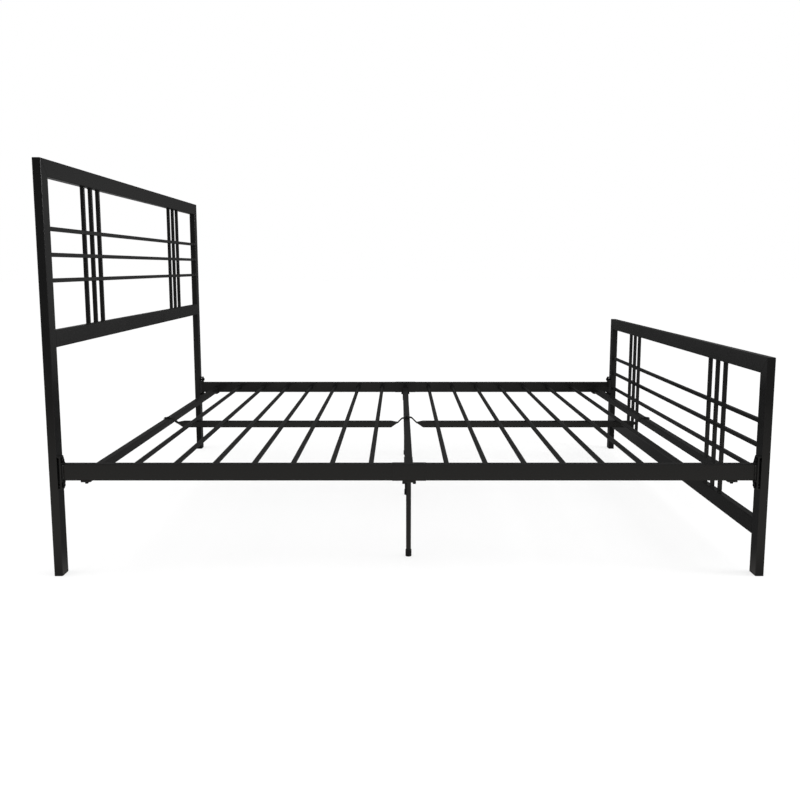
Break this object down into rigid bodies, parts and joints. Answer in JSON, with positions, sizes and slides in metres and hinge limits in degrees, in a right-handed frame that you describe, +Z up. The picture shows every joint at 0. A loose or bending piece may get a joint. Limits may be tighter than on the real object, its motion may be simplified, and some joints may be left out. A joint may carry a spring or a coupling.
{
  "type": "metal bed frame",
  "caption": "King-size metal bed frame in near-black powder coat: open barred head and foot boards, side rails, round slats and a centre beam on legs.",
  "frame": {"origin": "on the floor, under the middle of the frame's length and width", "axes": "+X along the bed from headboard to footboard, +Y to the right as seen from the foot, +Z up"},
  "size_m": [2.121, 2.006, 1.22],
  "materials": {
    "frame_coat": "semi-gloss near-black powder coat on steel box tube",
    "slat_coat": "semi-gloss near-black powder coat on round steel tube",
    "black_plastic": "moulded black plastic, fine matte texture",
    "black_fasteners": "black oxide steel",
    "zinc_inserts": "zinc plated steel"
  },
  "bodies": {
    "root": {"centre_beam": "frame_coat", "centre_beam_tabs": "frame_coat", "centre_leg_left": "frame_coat", "centre_leg_middle": "frame_coat", "centre_leg_right": "frame_coat", "corner_bolts": "black_fasteners", "corner_bracket_foot_left": "frame_coat", "corner_bracket_foot_right": "frame_coat", "corner_bracket_head_left": "frame_coat", "corner_bracket_head_right": "frame_coat", "corner_inserts": "zinc_inserts", "corner_washers": "black_fasteners", "foot_cross_bars": "frame_coat", "foot_cross_member": "frame_coat", "foot_low_rail": "frame_coat", "foot_member_tabs": "frame_coat", "foot_post_glides": "black_plastic", "foot_post_left": "frame_coat", "foot_post_right": "frame_coat", "foot_spindles_left": "frame_coat", "foot_spindles_right": "frame_coat", "foot_top_rail": "frame_coat", "head_cross_bars": "frame_coat", "head_cross_member": "frame_coat", "head_low_rail": "frame_coat", "head_member_tabs": "frame_coat", "head_post_glides": "black_plastic", "head_post_left": "frame_coat", "head_post_right": "frame_coat", "head_spindles_left": "frame_coat", "head_spindles_right": "frame_coat", "head_top_rail": "frame_coat", "leg_bolts": "black_fasteners", "leg_caps": "black_plastic", "leg_inserts": "zinc_inserts", "leg_saddle_left": "frame_coat", "leg_saddle_right": "frame_coat", "middle_leg_pad": "frame_coat", "rail_inserts": "zinc_inserts", "rail_splice_left": "frame_coat", "rail_splice_right": "frame_coat", "side_rail_left_foot": "frame_coat", "side_rail_left_head": "frame_coat", "side_rail_right_foot": "frame_coat", "side_rail_right_head": "frame_coat", "slat_sockets_left_foot": "black_plastic", "slat_sockets_left_head": "black_plastic", "slat_sockets_right_foot": "black_plastic", "slat_sockets_right_head": "black_plastic", "slats_foot_half": "slat_coat", "slats_head_half": "slat_coat", "support_bolts": "black_fasteners", "support_inserts": "zinc_inserts", "support_tube_foot": "frame_coat", "support_tube_head": "frame_coat", "tab_bolts": "black_fasteners"}
  },
  "joints": []
}
